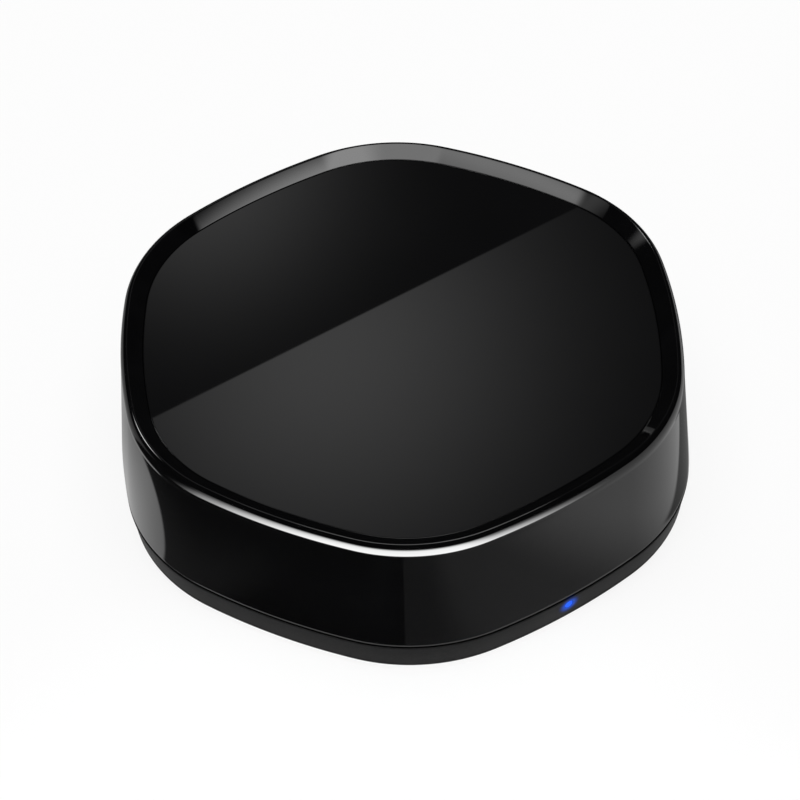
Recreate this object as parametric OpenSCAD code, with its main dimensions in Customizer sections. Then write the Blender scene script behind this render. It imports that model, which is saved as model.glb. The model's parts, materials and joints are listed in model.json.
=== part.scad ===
// Infrared blaster for a smart home: a low housing with six bowed sides, a flat
// top panel inside a raised bezel, six infrared emitters facing outwards and one
// facing up, a learning receiver, a radio module and a micro USB power socket.
// Millimetres. Z is up, the feet stand on Z = 0 and the indicator faces -Y.

/* [Housing] */
// Width from one flat side to the opposite one, at the top of the wall
across_flats = 76; // [70:0.5:86]
// Radius of each of the six bowed sides
side_radius = 86.3; // [76:0.1:130]
// Radius of each of the six corners
corner_radius = 23.8; // [18:0.1:27]
// Height of the glossy upper shell
shell_h = 17.7; // [17.2:0.1:26]
// How far the wall stands out at its foot
flare = 1.2; // [0.5:0.1:1.4]
// Thickness of the upper shell's side wall
wall = 2; // [1.6:0.1:2.4]
// Width of the rounding along the outer top edge
edge_r = 0.9; // [0.3:0.05:1]
// Height of that rounding
edge_h = 1.7; // [1:0.1:2]
// Width of the narrow flat land on top of the bezel
land_w = 0.1; // [0.05:0.05:0.6]
// Width of the bezel's inward slope
bevel_w = 2; // [1.4:0.1:2.6]
// Height of the bezel above the top panel
bevel_rise = 1.3; // [0.5:0.05:1.5]
// Width of the shadow line between shell and base
seam_gap = 0.3; // [0.1:0.05:0.6]

/* [Top panel] */
// Thickness of the top panel
panel_t = 1.5; // [1:0.1:2]
// Gap round the edge of the top panel
panel_gap = 0.08; // [0.05:0.01:0.2]
// Thickness of the adhesive ring under the panel
adhesive_t = 0.2; // [0.1:0.05:0.4]
// Width of the ledge that carries the panel
shelf_w = 2; // [1.4:0.1:2.6]
// Thickness of that ledge
shelf_t = 1.6; // [1.2:0.1:2]

/* [Base] */
// Height of the base's visible side
base_side_h = 4.4; // [4.2:0.1:4.8]
// How far that side leans in towards its lower edge
base_taper = 0.6; // [0.2:0.1:0.8]
// Thickness of the base's floor
floor_t = 1.6; // [1.4:0.1:2]
// Radius along the base's lower edge
base_edge_r = 0.5; // [0.2:0.05:0.8]
// Thickness of the lip that centres the shell
lip_t = 1.1; // [0.8:0.1:1.4]
// Height of that lip above the base's side
lip_h = 1.1; // [0.8:0.1:1.2]
// Gap between the lip and the shell's wall
lip_gap = 0.12; // [0.08:0.01:0.2]

/* [Feet and screws] */
// Distance from the side face in to the axis of each housing screw
boss_inset = 5.8; // [5.5:0.1:6.4]
// Radius of the shell's screw bosses
boss_r = 3; // [2.6:0.1:3.2]
// Radius of the rubber feet
foot_r = 4.5; // [4:0.1:5]
// Distance that the feet stand out of the base
foot_stand = 0.8; // [0.5:0.1:1.5]
// Depth of the recesses that hold the feet
foot_sink = 0.4; // [0.3:0.05:0.5]
// Thread radius of the housing screws
screw_r = 1.3; // [1.1:0.05:1.5]
// Length of the housing screws below the head
screw_l = 8; // [6:0.5:10]
// Radius of the housing screws' heads
screw_head_r = 2.2; // [2:0.1:2.5]
// Height of the housing screws' heads
screw_head_h = 1.4; // [1.2:0.1:1.6]

/* [Circuit board] */
// Thickness of the circuit board
board_t = 1.6; // [1:0.1:2]
// Gap between the board's edge and the shell's wall
board_gap = 2.3; // [1.9:0.1:2.6]
// Height of the posts under the board
post_h = 4.7; // [4.7:0.1:5.2]
// Radius of those posts
post_r = 2.2; // [1.8:0.1:2.6]
// Thread radius of the board's screws
board_screw_r = 0.95; // [0.8:0.05:1.1]
// Length of the board's screws below the head
board_screw_l = 4; // [3:0.5:4.5]

/* [Infrared parts] */
// Radius of an emitter's round body
emitter_r = 2.5; // [1.5:0.1:2.6]
// Length of an emitter from its flange to the tip of its dome
emitter_l = 8.6; // [6:0.1:9]
// Width of the flange that stands out round an emitter's foot
emitter_flange = 0.4; // [0.2:0.05:0.5]
// Gap between the tip of an emitter and the shell
emitter_gap = 1.7; // [1:0.1:2.4]
// Height of the upward emitter's foot above the board
emitter_stand = 1.2; // [0.5:0.1:2.5]
// Width of the receiver
receiver_w = 5; // [4:0.1:6]
// Depth of the receiver without its dome
receiver_d = 3; // [2.5:0.1:4]
// Height of the receiver
receiver_h = 7; // [5:0.1:8]

/* [Radio module] */
// Width of the module's own board
module_w = 16; // [14:0.5:17]
// Length of the module's own board
module_l = 24; // [20:0.5:26]
// Thickness of the module's own board
module_t = 0.8; // [0.6:0.1:1.2]
// Height of the metal shield on the module
shield_h = 2.3; // [1.5:0.1:3]

/* [Power socket] */
// Width of the socket's metal shell
socket_w = 7.5; // [7:0.1:8]
// Height of the socket's metal shell
socket_h = 2.6; // [2.4:0.05:3]
// Depth of the socket's metal shell
socket_d = 5.5; // [5:0.1:7]
// Thickness of the socket's sheet metal
socket_t = 0.3; // [0.2:0.05:0.4]
// Width of the window that the plug's grip enters
window_w = 11; // [10:0.1:12]
// Height of that window about the socket's middle
window_h = 6.8; // [6:0.1:7.2]

/* [Reset button] */
// Distance of the button from the middle of the rear side
button_x = 8.4; // [8:0.1:11]
// Radius of the button
button_r = 1.7; // [1.4:0.1:1.9]
// Travel of the button
button_travel = 0.35; // [0.2:0.05:0.5]
// Gap between the button and its hole
button_gap = 0.15; // [0.1:0.01:0.2]
// Depth of the button's face below the side wall
button_sink = 0.3; // [0.1:0.05:0.4]

/* [Indicator] */
// Radius of the indicator's light pipe
pipe_r = 0.6; // [0.5:0.05:0.8]
// Distance of the light pipe's upright end from its face
pipe_reach = 7.4; // [6.4:0.1:8]

/* [Hidden] */
// Resolution of round faces, and of each corner, side and rounded edge
$fn = 96;
corner_steps = 8;
side_steps = 4;
edge_steps = 3;
// Overrun of cuts beyond the faces that they pass through
overrun = 1;

// Upright land at each end of a leaning side
rim_land = 0.3;

sides_count = 6;
side_step = 360 / sides_count;
half_step = side_step / 2;

// Radial clearance round screws and posts, and the seat below a screw head
hole_gap = 0.1;
thread_gap = 0.03;
thread_pitch = 0.9;
thread_depth = 0.3;
cross_w = 0.5;
cross_l = 2.4;
cross_d = 0.8;
head_bevel_share = 1 / 3;
head_clear = 0.3;
foot_gap = 0.1;
foot_chamfer = 0.3;
pillar_wall = 1;
rib_t = 1.2;
rib_gap = 0.3;
adhesive_margin = 0.2;

// Blank rating label under the base
label_r = 15;
label_t = 0.12;
label_sink = 0.2;
label_gap = 0.2;

// Board layout, as shares of the board's half width across its flats
post_x_share = 0.52;
post_y_share = 0.56;
module_x_share = -0.375;
module_y_share = 0.06;
receiver_y_share = -0.62;
capacitor_x_shares = [0.31, 0.545];
capacitor_y_share = 0.26;
regulator_x_share = 0.09;
regulator_y_share = 0.56;
diode_x_share = -0.13;
diode_y_share = 0.73;
driver_x_shares = [0.22, 0.37, 0.52];
driver_y_share = -0.2;
resistor_x_shares = [0.14, 0.23, 0.32, 0.41, 0.5, 0.59];
resistor_y_share = -0.36;
ceramic_x_shares = [-0.14, -0.26, -0.38, -0.5];
ceramic_y_share = -0.42;

// Leads and solder
lead_r = 0.25;
lead_hole_gap = 0.12;
lead_pitch = 2.54;
lead_tail = 1.2;
lead_bend_r = 0.7;
lead_run = 2.6;
solder_r = 0.6;
solder_h = 0.6;
solder_gap = 0.02;

// Board screws
board_head_r = 1.8;
board_head_h = 1.2;
board_hole_gap = 0.15;
notch_gap = 0.4;

// Emitter and receiver details
flange_t = 1;
flange_cut = 0.15;
board_touch = 0.02;
receiver_dome_r = 1.5;
receiver_stand = 0.8;
receiver_dome_h_share = 0.62;

// Radio module details
shield_margin = 1;
antenna_l = 6;
shield_gap = 0.8;
trace_w = 0.5;
trace_t = 0.05;
trace_edge = 0.8;
trace_turns_count = 5;
pad_w = 0.9;
pad_d = 0.5;
pad_end = 2;
pads_count = 8;
pad_start = 9;

// Socket details
socket_sink = 1.2;
socket_chamfer = 0.9;
tab_w = 0.7;
tab_l = 1.3;
tab_inset = 0.8;
tongue_w = 3.6;
tongue_t = 0.6;
tongue_short = 0.8;
tongue_root = 1;
contact_w = 0.3;
contact_t = 0.1;
contact_pitch = 0.65;
contacts_count = 5;
window_r = 1;
side_gap = 0.02;

// Reset switch details
switch_w = 4;
switch_d = 3.4;
switch_h = 3.5;
plunger_w = 2.6;
plunger_h = 1.4;
plunger_out = 0.7;
plunger_in = 1.3;
plunger_gap = 0.1;
dome_r = 1.5;
dome_stop = 0.15;
dome_t = 0.08;
dome_gap = 0.05;
cover_t = 0.2;
button_flange = 0.8;
button_flange_h = 3;
button_flange_t = 0.8;
button_edge = 0.25;
flange_clear = 0.5;

// Indicator details
pipe_gap = 0.05;
pipe_z_share = 0.64;
pipe_bend_r = 1;
light_w = 2;
light_d = 1.25;
light_h = 0.8;
light_gap = 0.05;
gasket_wall = 0.9;

// Small parts
capacitor_r = 3.15;
capacitor_h = 5.2;
capacitor_base_w = 6.6;
capacitor_base_t = 0.9;
capacitor_chamfer = 1.2;
capacitor_vent = 0.3;
package_lift = 0.1;
package_lead_t = 0.25;
regulator_w = 6.5;
regulator_d = 3.5;
regulator_h = 1.6;
regulator_lead_w = 0.7;
regulator_tab_w = 3;
regulator_pitch = 2.3;
regulator_foot = 1.5;
diode_w = 4.3;
diode_d = 2.6;
diode_h = 2.1;
diode_foot = 0.5;
diode_lead_w = 1.5;
driver_w = 2.9;
driver_d = 1.3;
driver_h = 1;
driver_lead_w = 0.4;
driver_pitch = 1.9;
driver_foot = 0.5;
chip_l = 2;
chip_w = 1.25;
chip_h = 0.6;
chip_cap = 0.4;

// Outline of the housing
apothem = across_flats / 2;
side_centre = side_radius - apothem;
arc_reach = side_radius - corner_radius;
corner_centre = sqrt(pow(arc_reach, 2) - pow(side_centre * sin(half_step), 2)) - side_centre * cos(half_step);
side_half = asin(corner_centre * sin(half_step) / arc_reach);
corner_half = half_step - side_half;
corner_reach = corner_centre + corner_radius;

// Heights
base_low = foot_stand;
base_top = base_low + base_side_h;
floor_top = base_low + floor_t;
lip_top = base_top + lip_h;
boss_low = lip_top + lip_gap;
shell_low = base_top + seam_gap;
shell_top = shell_low + shell_h;
wall_foot = shell_low + rim_land;
wall_top = shell_top - edge_h - rim_land;
panel_top = shell_top - bevel_rise;
panel_low = panel_top - panel_t;
shelf_top = panel_low - adhesive_t;
shelf_low = shelf_top - shelf_t;
board_low = floor_top + post_h;
board_top = board_low + board_t;
seat_z = base_low + foot_sink + head_clear + screw_head_h;

// How far the wall's face stands out at a height
function lean(z) = flare * (wall_top - z) / (wall_top - wall_foot);

// Insets from the side face at the top of the wall
panel_inset = edge_r + land_w + bevel_w;
shelf_inset = panel_inset + shelf_w;
lip_inset = wall - lean(lip_top) + lip_gap;
board_inset = wall - lean(board_top) + board_gap;
board_half = apothem - board_inset;
boss_reach = apothem - boss_inset;
boss_angles = [half_step, half_step + 2 * side_step, half_step + 3 * side_step, -half_step];

// Emitters
emitter_flange_r = emitter_r + emitter_flange;
emitter_z = board_top + emitter_flange_r + board_touch;
emitter_foot = corner_reach - wall + lean(emitter_z) - emitter_gap - emitter_l;
lead_x = emitter_foot - lead_run;

// Socket, button and indicator
socket_z = board_top + socket_h / 2;
socket_mouth = apothem - wall + lean(socket_z) - socket_sink;
button_z = board_top + switch_h / 2;
button_flange_r = button_r + button_flange;
button_side = sqrt(pow(side_radius + lean(button_z), 2) - pow(button_x, 2)) - side_centre;
button_face = button_side - button_sink;
flange_radius = side_radius - wall + lean(button_z + button_flange_h / 2);
flange_wall = sqrt(pow(flange_radius, 2) - pow(button_x + button_flange_r, 2)) - side_centre;
flange_side = flange_wall - flange_clear;
plunger_front = flange_side - button_flange_t;
switch_front = plunger_front - plunger_out;
plunger_back = switch_front - plunger_in;
dome_rise = button_travel + dome_stop;
pipe_z = base_low + pipe_z_share * base_side_h;
pipe_drop = base_top - rim_land - pipe_z + pipe_r;
pipe_face = -apothem - flare + base_taper * pipe_drop / (base_side_h - 2 * rim_land - base_edge_r);
pipe_y = pipe_face + pipe_reach;
light_low = board_low - light_h;

function along(a) = [cos(a), sin(a)];

// Points of an arc about a centre, to either side of the direction that it faces
function arc(centre, r, facing, half, steps) =
    [for (i = [0 : steps]) centre + r * along(facing - half + 2 * half * i / steps)];

// Points of the rounded outline, drawn in from the side face by inset. Each
// corner's arc runs smoothly into the bowed side that follows it.
function outline(inset) = [for (k = [0 : sides_count - 1]) each concat(
    corner(k * side_step, corner_radius - inset),
    between_ends(bowed_side(k * side_step + half_step, side_radius - inset))
)];
function corner(facing, r) = arc(corner_centre * along(facing), r, facing, corner_half, corner_steps);
function bowed_side(facing, r) = arc(-side_centre * along(facing), r, facing, side_half, side_steps);
function between_ends(points) = [for (i = [1 : len(points) - 2]) points[i]];

// A plate with that outline
module slab(inset, low, high) {
    translate([0, 0, low]) linear_extrude(high - low) polygon(outline(inset));
}

// A ring between two insets
module band(outer, inner, low, high) {
    translate([0, 0, low]) linear_extrude(high - low) difference() {
        polygon(outline(outer));
        polygon(outline(inner));
    }
}

module rod(r, low, high) {
    translate([0, 0, low]) cylinder(r = r, h = high - low);
}

// A box centred on X and Y that stands on Z = 0
module block(w, d, h) {
    translate([-w / 2, -d / 2, 0]) cube([w, d, h]);
}

module at_bosses() {
    for (a = boss_angles) rotate(a) translate([boss_reach, 0, 0]) rotate(-a) children();
}

module at_posts() {
    for (x = [-1, 1], y = [-1, 1])
        translate([x * post_x_share * board_half, y * post_y_share * board_half, 0]) children();
}

module on_board(x_share, y_share) {
    translate([x_share * board_half, y_share * board_half, board_top]) children();
}

// Turns a piece drawn along Z so that it points to +Y
module towards_rear() {
    rotate([-90, 0, 0]) children();
}

module top_panel() {
    color("#26272a") slab(panel_inset + panel_gap, panel_low, panel_top);
}

module panel_adhesive() {
    color("#c9c4b4")
        band(panel_inset + panel_gap + adhesive_margin, shelf_inset - adhesive_margin, shelf_top, panel_low);
}

// A body that leans in from its foot to its brow, where its upper edge is rounded
module leaning_body(foot, brow, round_w, round_h, low, high) {
    hull() {
        slab(foot, low, low + rim_land);
        for (i = [0 : edge_steps]) let (a = 90 * i / edge_steps)
            slab(brow + round_w * (1 - cos(a)), high - round_h - rim_land, high - round_h * (1 - sin(a)));
    }
}

// The shallow dish inside the bezel, and the hollow below it
module shell_hollow() {
    hull() {
        slab(panel_inset, panel_top, shell_top + overrun);
        slab(edge_r + land_w, shell_top, shell_top + overrun);
    }
    slab(panel_inset, shelf_top, shell_top);
    slab(shelf_inset, shelf_low - overrun, shell_top);
    hull() {
        slab(wall - lean(shelf_low), shelf_low - rim_land, shelf_low);
        slab(wall - flare, shell_low - overrun, wall_foot);
    }
}

// Window for the plug's grip
module plug_window() {
    depth = wall + flare + 2 * overrun;
    w = window_w / 2 - window_r;
    h = window_h / 2 - window_r;
    translate([0, apothem + flare + overrun, socket_z]) rotate([90, 0, 0]) linear_extrude(depth) {
        translate([-w, -h - window_r]) square([2 * w, window_h]);
        translate([-w - window_r, -h]) square([window_w, 2 * h]);
        for (x = [-w, w], y = [-h, h]) translate([x, y]) circle(r = window_r);
    }
}

module shell_bosses() {
    at_bosses() rod(boss_r, boss_low, shelf_low + shelf_t / 2);
    for (a = boss_angles) rotate(a)
        translate([boss_reach, -rib_t / 2, lip_top + rib_gap])
            cube([boss_inset - (wall - flare) / 2, rib_t, shelf_low + shelf_t / 2 - lip_top - rib_gap]);
}

module upper_shell() {
    color("#0c0c0d") difference() {
        union() {
            difference() {
                leaning_body(-flare, 0, edge_r, edge_h, shell_low, shell_top);
                shell_hollow();
            }
            shell_bosses();
        }
        at_bosses() rod(screw_r + thread_gap, boss_low - overrun, seat_z + screw_l + overrun);
        plug_window();
        translate([button_x, button_face - wall - 2 * overrun, button_z])
            towards_rear() cylinder(r = button_r + button_gap, h = wall + 3 * overrun);
    }
}

// The base's body, with its lower edge rounded and the lip above its rim
module base_body() {
    translate([0, 0, base_low + base_top]) mirror([0, 0, 1])
        leaning_body(-flare, base_taper - flare, base_edge_r, base_edge_r, base_low, base_top);
    slab(lip_inset, floor_top, lip_top);
}

module base_cuts() {
    at_bosses() {
        rod(foot_r + foot_gap, base_low - overrun, base_low + foot_sink);
        rod(screw_head_r + hole_gap, base_low - overrun, seat_z);
        rod(screw_r + hole_gap, base_low, boss_low + overrun);
    }
    at_posts() rod(board_screw_r + thread_gap, board_top - board_screw_l - hole_gap, board_low + overrun);
    rod(label_r + label_gap, base_low - overrun, base_low + label_sink);
    // Bore of the light pipe
    translate([0, pipe_face - overrun, pipe_z]) towards_rear()
        cylinder(r = pipe_r + pipe_gap, h = overrun + pipe_reach + pipe_r + pipe_gap);
}

module base_cover() {
    color("#1b1b1b") difference() {
        union() {
            difference() {
                base_body();
                slab(lip_inset + lip_t, floor_top, lip_top + overrun);
            }
            at_bosses() rod(screw_head_r + hole_gap + pillar_wall, base_low, boss_low);
            at_posts() rod(post_r, base_low, board_low);
        }
        base_cuts();
    }
}

// A screw with its head below Z = 0 and its thread above
module tapping_screw(r, l, head_r, head_h) {
    root = r - thread_depth;
    turns = floor(l / thread_pitch) - 1;
    bevel = head_h * head_bevel_share;
    thread = [for (i = [0 : turns - 1], crest = [0, 1])
        [root + crest * thread_depth, (i + crest / 2) * thread_pitch]];
    difference() {
        rotate_extrude() polygon(concat(
            [[0, -head_h], [head_r - bevel, -head_h], [head_r, bevel - head_h], [head_r, 0]],
            thread,
            [[root, turns * thread_pitch], [0, l]]
        ));
        translate([0, 0, -head_h - overrun]) for (a = [0, 90])
            rotate(a) block(cross_l, cross_w, overrun + cross_d);
    }
}

module shell_screws() {
    color("silver") at_bosses() translate([0, 0, seat_z])
        tapping_screw(screw_r, screw_l, screw_head_r, screw_head_h);
}

module board_screws() {
    color("silver") at_posts() translate([0, 0, board_top]) mirror([0, 0, 1])
        tapping_screw(board_screw_r, board_screw_l, board_head_r, board_head_h);
}

module rubber_feet() {
    top = base_low + foot_sink;
    color("#202020") at_bosses() rotate_extrude()
        polygon([[0, 0], [foot_r - foot_chamfer, 0], [foot_r, foot_chamfer], [foot_r, top], [0, top]]);
}

module underside_label() {
    color("#8f9091") rod(label_r, base_low + label_sink - label_t, base_low + label_sink);
}

module light_pipe() {
    bend_y = pipe_y - pipe_bend_r;
    color("#2f7dff") {
        translate([0, pipe_face, pipe_z]) towards_rear() cylinder(r = pipe_r, h = bend_y - pipe_face);
        translate([0, bend_y, pipe_z + pipe_bend_r]) rotate([90, 0, 90]) rotate(-90)
            rotate_extrude(angle = 90) translate([pipe_bend_r, 0]) circle(r = pipe_r);
        translate([0, pipe_y, 0]) rod(pipe_r, pipe_z + pipe_bend_r, light_low - light_gap);
    }
}

module reset_button() {
    stem = button_face - flange_side;
    rim = [button_r - button_edge, stem - button_edge];
    color("#161616") translate([button_x, plunger_front, button_z]) {
        translate([-button_flange_r, 0, -button_flange_h / 2])
            cube([2 * button_flange_r, button_flange_t, button_flange_h]);
        translate([0, button_flange_t, 0]) towards_rear() rotate_extrude()
            polygon([[0, 0], [button_r, 0], [button_r, rim[1]], [rim[0], stem], [0, stem]]);
    }
}

// Body of the switch, with the plunger's slot and the dome's round chamber
module reset_switch_body() {
    slot_w = plunger_w + 2 * plunger_gap;
    slot_h = plunger_h + 2 * plunger_gap;
    color("#101010") translate([button_x, switch_front, board_top]) difference() {
        translate([0, -switch_d / 2, 0]) block(switch_w, switch_d, switch_h);
        translate([-slot_w / 2, -plunger_in - plunger_gap, (switch_h - slot_h) / 2])
            cube([slot_w, plunger_in + plunger_gap + overrun, slot_h]);
        translate([0, -plunger_in - dome_gap - dome_rise, switch_h / 2]) towards_rear()
            cylinder(r = dome_r + plunger_gap, h = dome_rise + dome_gap);
    }
}

// Sheet metal that clips over the switch
module reset_switch_cover() {
    inner_w = switch_w + 2 * side_gap;
    inner_h = switch_h + side_gap;
    color("#b9bcc0") translate([button_x, switch_front - switch_d / 2, board_top]) {
        for (x = [-1, 1]) translate([x * (inner_w + cover_t) / 2, 0, 0])
            block(cover_t, switch_d, inner_h + cover_t);
        translate([0, 0, inner_h]) block(inner_w + 2 * cover_t, switch_d, cover_t);
    }
}

module reset_switch_plunger() {
    color("#a8431f") translate([button_x - plunger_w / 2, plunger_back, button_z - plunger_h / 2])
        cube([plunger_w, plunger_front - plunger_back, plunger_h]);
}

// Snap dome that brings the button back: a shallow spherical cap
module reset_switch_dome() {
    ball = (pow(dome_r, 2) + pow(dome_rise, 2)) / (2 * dome_rise);
    color("#c8cacd") translate([button_x, plunger_back - dome_gap - dome_rise, button_z]) towards_rear()
        intersection() {
            translate([0, 0, dome_rise - ball]) difference() {
                sphere(r = ball);
                sphere(r = ball - dome_t);
            }
            rod(dome_r, 0, dome_rise);
        }
}

// Places of the leads of the outward emitters, the upward one and the receiver
module at_side_leads() {
    for (k = [0 : sides_count - 1], y = [-1, 1])
        rotate(k * side_step) translate([lead_x, y * lead_pitch / 2, 0]) children();
}

module at_top_leads() {
    for (x = [-1, 1]) translate([x * lead_pitch / 2, 0, 0]) children();
}

module at_receiver_leads() {
    for (x = [-1 : 1]) translate([x * lead_pitch / 2, receiver_y_share * board_half, 0]) children();
}

module at_leads() {
    at_side_leads() children();
    at_top_leads() children();
    at_receiver_leads() children();
}

module main_board() {
    color("#0f5a32") difference() {
        slab(board_inset, board_low, board_top);
        at_bosses() rod(boss_r + notch_gap, board_low - overrun, board_top + overrun);
        at_posts() rod(board_screw_r + board_hole_gap, board_low - overrun, board_top + overrun);
        at_leads() rod(lead_r + lead_hole_gap, board_low - overrun, board_top + overrun);
    }
}

module solder_joints() {
    tip_r = lead_r + lead_hole_gap + solder_gap;
    color("#c5c8cc") at_leads() difference() {
        translate([0, 0, board_low - solder_h]) cylinder(r1 = tip_r, r2 = solder_r, h = solder_h);
        rod(lead_r + solder_gap, board_low - solder_h - overrun, board_low + overrun);
    }
}

// An emitter pointing along Z, with its foot on Z = 0
module emitter() {
    shoulder = emitter_l - emitter_r;
    difference() {
        union() {
            cylinder(r = emitter_r, h = shoulder);
            translate([0, 0, shoulder]) sphere(r = emitter_r);
            cylinder(r = emitter_flange_r, h = flange_t);
        }
        translate([-emitter_flange_r, emitter_flange_r - emitter_flange + flange_cut, -overrun])
            cube([2 * emitter_flange_r, emitter_flange_r, overrun + 2 * flange_t]);
    }
}

module side_emitter(k) {
    color("#9fb4d8") rotate(k * side_step) translate([emitter_foot, 0, emitter_z])
        rotate([0, 90, 0]) emitter();
}

module ir_emitter_top() {
    color("#9fb4d8") translate([0, 0, board_top + emitter_stand]) emitter();
}

module bent_lead() {
    rod(lead_r, board_low - lead_tail, emitter_z - lead_bend_r);
    translate([lead_bend_r, 0, emitter_z - lead_bend_r]) rotate([90, 0, 0]) rotate(90)
        rotate_extrude(angle = 90) translate([lead_bend_r, 0]) circle(r = lead_r);
    translate([lead_bend_r, 0, emitter_z]) rotate([0, 90, 0])
        cylinder(r = lead_r, h = lead_run - lead_bend_r);
}

module ir_emitter_leads() {
    color("#d5d7da") {
        at_side_leads() bent_lead();
        at_top_leads() rod(lead_r, board_low - lead_tail, board_top + emitter_stand);
    }
}

module ir_receiver() {
    color("#15161a") translate([0, receiver_y_share * board_half, board_top + receiver_stand]) {
        block(receiver_w, receiver_d, receiver_h);
        intersection() {
            translate([0, -receiver_d / 2, receiver_h * receiver_dome_h_share]) sphere(r = receiver_dome_r);
            translate([0, -receiver_d / 2, 0]) block(receiver_w, receiver_d, receiver_h);
        }
    }
}

module ir_receiver_leads() {
    color("#d5d7da") at_receiver_leads() rod(lead_r, board_low - lead_tail, board_top + receiver_stand);
}

module at_module() {
    on_board(module_x_share, module_y_share) children();
}

module radio_module_board() {
    color("#17325c") at_module() block(module_w, module_l, module_t);
}

module radio_module_shield() {
    l = module_l - antenna_l - shield_gap - shield_margin;
    color("#c3c6ca") at_module() translate([0, module_l / 2 - shield_margin - l / 2, module_t])
        block(module_w - 2 * shield_margin, l, shield_h);
}

// Printed antenna: a square meander along the free end of the module
module radio_module_antenna() {
    run = module_w - 2 * trace_edge;
    last = 2 * trace_turns_count;
    pitch = (run - trace_w) / last;
    depth = antenna_l - 2 * trace_edge;
    color("#c78f3a") at_module() translate([-run / 2, trace_edge - module_l / 2, module_t]) {
        for (i = [0 : last]) translate([i * pitch, 0, 0]) cube([trace_w, depth, trace_t]);
        for (i = [0 : last - 1]) translate([i * pitch, i % 2 * (depth - trace_w), 0])
            cube([pitch + trace_w, trace_w, trace_t]);
    }
}

module radio_module_pads() {
    row = module_l - pad_start - pad_end;
    color("#d8b04c") at_module() for (x = [-1, 1], i = [0 : pads_count - 1])
        translate([x * (module_w + pad_d) / 2, pad_start - module_l / 2 + row * i / (pads_count - 1), 0])
            block(pad_d, pad_w, module_t);
}

module usb_outline(inset) {
    w = socket_w / 2 - inset;
    polygon([
        [-w, socket_h - inset], [w, socket_h - inset], [w, socket_chamfer + inset / 2],
        [w - socket_chamfer, inset], [socket_chamfer - w, inset], [-w, socket_chamfer + inset / 2],
    ]);
}

module usb_socket_shell() {
    color("#b4b7bb") translate([0, socket_mouth, board_top]) {
        rotate([90, 0, 0]) difference() {
            linear_extrude(socket_d) usb_outline(0);
            translate([0, 0, -overrun]) linear_extrude(overrun + socket_d - socket_t) usb_outline(socket_t);
        }
        for (x = [-1, 1], y = [tab_inset, socket_d - tab_inset - tab_l])
            translate([x * (socket_w / 2 - socket_chamfer / 2 + tab_w / 2), -y - tab_l / 2, 0])
                block(socket_chamfer + tab_w, tab_l, socket_t);
    }
}

// Plastic tongue that carries the contacts, with a root against the back wall
module usb_socket_tongue() {
    back = socket_mouth - socket_d + socket_t;
    root_w = socket_w - 2 * socket_t - 2 * socket_chamfer;
    color("#1a1a1a") {
        translate([-tongue_w / 2, back + tongue_root, socket_z])
            cube([tongue_w, socket_d - socket_t - tongue_root - tongue_short, tongue_t]);
        translate([-root_w / 2, back, board_top + socket_t + side_gap])
            cube([root_w, tongue_root, socket_h - 2 * socket_t - 2 * side_gap]);
    }
}

module usb_socket_contacts() {
    l = socket_d - socket_t - tongue_root - 2 * tongue_short;
    first = -(contacts_count - 1) / 2;
    color("#d8b04c") translate([0, socket_mouth - tongue_short - l / 2, socket_z - contact_t])
        for (i = [first : -first]) translate([i * contact_pitch, 0, 0]) block(contact_w, l, contact_t);
}

module voltage_regulator() {
    color("#141414") on_board(regulator_x_share, regulator_y_share) translate([0, 0, package_lift])
        block(regulator_w, regulator_d, regulator_h);
}

// A formed lead that leaves a package's side and lies down on the board, towards +Y
module gull_lead(w, foot, body_h) {
    translate([-w / 2, 0, 0]) {
        cube([w, foot, package_lead_t]);
        cube([w, package_lead_t, body_h / 2]);
    }
}

module voltage_regulator_leads() {
    color("#d5d7da") on_board(regulator_x_share, regulator_y_share) {
        for (x = [-1 : 1]) translate([x * regulator_pitch, -regulator_d / 2, 0]) rotate(180)
            gull_lead(regulator_lead_w, regulator_foot, regulator_h);
        translate([0, regulator_d / 2, 0]) gull_lead(regulator_tab_w, regulator_foot, regulator_h);
    }
}

module at_capacitors() {
    for (x = capacitor_x_shares) on_board(x, capacitor_y_share) children();
}

module capacitor_cans() {
    color("#b8bcc2") at_capacitors() difference() {
        rod(capacitor_r, capacitor_base_t, capacitor_base_t + capacitor_h);
        for (a = [0, 90]) rotate(a) translate([0, 0, capacitor_base_t + capacitor_h - trace_t])
            block(2 * (capacitor_r - capacitor_vent), capacitor_vent, overrun);
    }
}

module capacitor_bases() {
    half = capacitor_base_w / 2;
    cut = half - capacitor_chamfer;
    color("#1c1c1c") at_capacitors() linear_extrude(capacitor_base_t)
        polygon([[-half, -half], [cut, -half], [half, -cut], [half, cut], [cut, half], [-half, half]]);
}

module input_diode() {
    color("#161616") on_board(diode_x_share, diode_y_share) translate([0, 0, package_lift])
        block(diode_w, diode_d, diode_h);
}

module input_diode_leads() {
    color("#d5d7da") on_board(diode_x_share, diode_y_share) for (a = [90, -90])
        rotate(a) translate([0, diode_w / 2, 0]) gull_lead(diode_lead_w, diode_foot, diode_h);
}

module at_drivers() {
    for (x = driver_x_shares) on_board(x, driver_y_share) children();
}

module driver_transistors() {
    color("#141414") at_drivers() translate([0, 0, package_lift]) block(driver_w, driver_d, driver_h);
}

module driver_transistor_leads() {
    color("#d5d7da") at_drivers() {
        translate([0, driver_d / 2, 0]) gull_lead(driver_lead_w, driver_foot, driver_h);
        for (x = [-1, 1]) translate([x * driver_pitch / 2, -driver_d / 2, 0]) rotate(180)
            gull_lead(driver_lead_w, driver_foot, driver_h);
    }
}

module at_resistors() {
    for (x = resistor_x_shares) on_board(x, resistor_y_share) rotate(90) children();
}

module at_ceramics() {
    for (x = ceramic_x_shares) on_board(x, ceramic_y_share) rotate(90) children();
}

module chip_resistors() {
    color("#1f2124") at_resistors() block(chip_l - 2 * chip_cap, chip_w, chip_h);
}

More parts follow.
